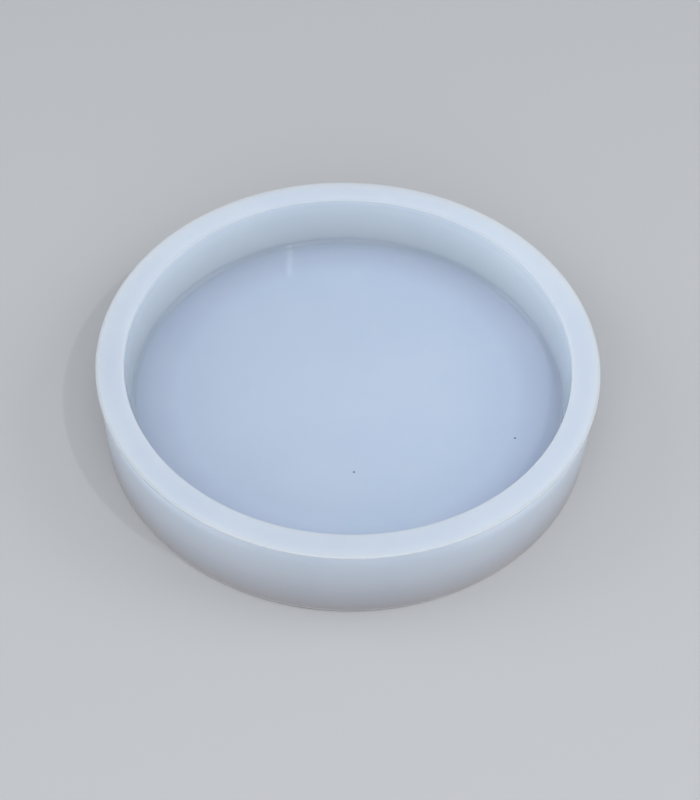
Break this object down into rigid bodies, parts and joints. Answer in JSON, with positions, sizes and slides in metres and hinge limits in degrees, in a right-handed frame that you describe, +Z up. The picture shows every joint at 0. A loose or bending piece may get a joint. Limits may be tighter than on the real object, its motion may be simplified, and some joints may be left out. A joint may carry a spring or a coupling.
{
  "type": "resin casting mould",
  "caption": "Round open mould of translucent silicone: shallow flat-floored cavity, thick wall, flat rim with a thin lip.",
  "frame": {"origin": "middle of the flat underside, on the surface that the mould stands on", "axes": "+Z up along the round mould's axis, out of the cavity's mouth; X and Y are free, because the mould is round"},
  "size_m": [0.1688, 0.1688, 0.0318],
  "materials": {
    "silicone": "translucent milky silicone, satin rim, glossier cavity"
  },
  "bodies": {
    "root": {"mould_body": "silicone"}
  },
  "joints": []
}
